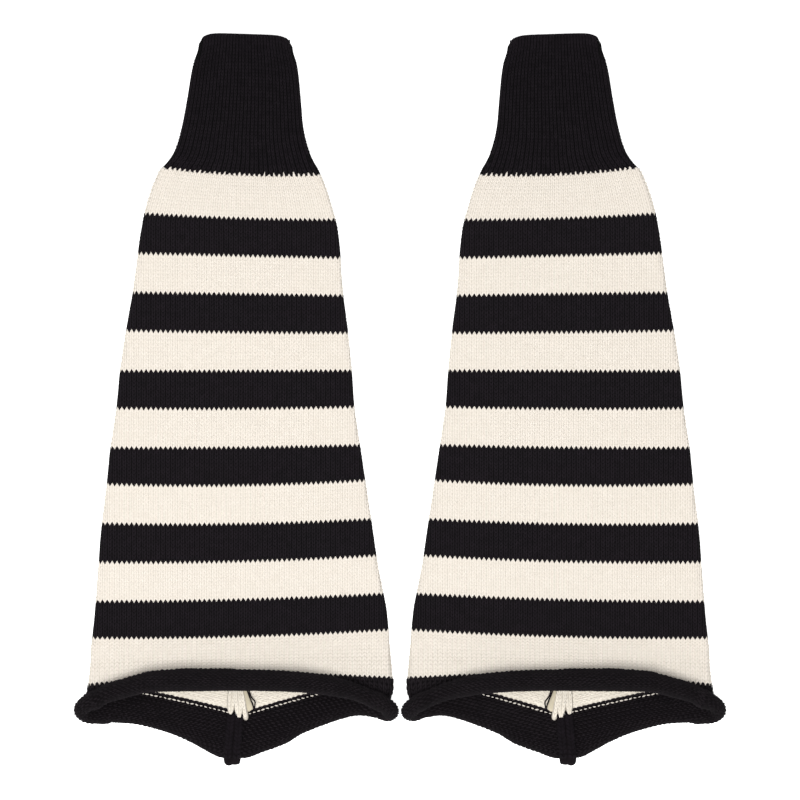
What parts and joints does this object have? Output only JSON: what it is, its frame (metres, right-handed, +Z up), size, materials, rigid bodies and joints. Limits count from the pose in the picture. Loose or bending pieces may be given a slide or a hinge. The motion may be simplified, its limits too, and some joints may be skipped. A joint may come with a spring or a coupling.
{
  "type": "pair of leg warmers",
  "caption": "Pair of flared knit leg warmers laid flat, with ribbed cuffs, cream and black stripes and a curled black hem.",
  "frame": {"origin": "middle of the pair on the surface that it lies on, at the centre of the footprint's bounding box", "axes": "+Z up from the surface, +Y toward the cuffs' upper edges, +X to the right as seen from above"},
  "size_m": [0.429, 0.4826, 0.0295],
  "materials": {
    "cuff_left": "black 1 by 1 rib knit",
    "cuff_right": "black 1 by 1 rib knit",
    "body_left": "cream plain knit with black stripes of 10 courses",
    "body_right": "cream plain knit with black stripes of 10 courses",
    "hem_left": "black plain knit, curled to show its purl side",
    "hem_right": "black plain knit, curled to show its purl side",
    "seam_upper_left": "cream knit seam edges",
    "seam_upper_right": "cream knit seam edges",
    "seam_lower_left": "black knit seam edges",
    "seam_lower_right": "black knit seam edges"
  },
  "bodies": {
    "root": {"cuff_left": "cuff_left", "cuff_right": "cuff_right", "body_left": "body_left", "body_right": "body_right", "hem_left": "hem_left", "hem_right": "hem_right", "seam_upper_left": "seam_upper_left", "seam_upper_right": "seam_upper_right", "seam_lower_left": "seam_lower_left", "seam_lower_right": "seam_lower_right"}
  },
  "joints": []
}
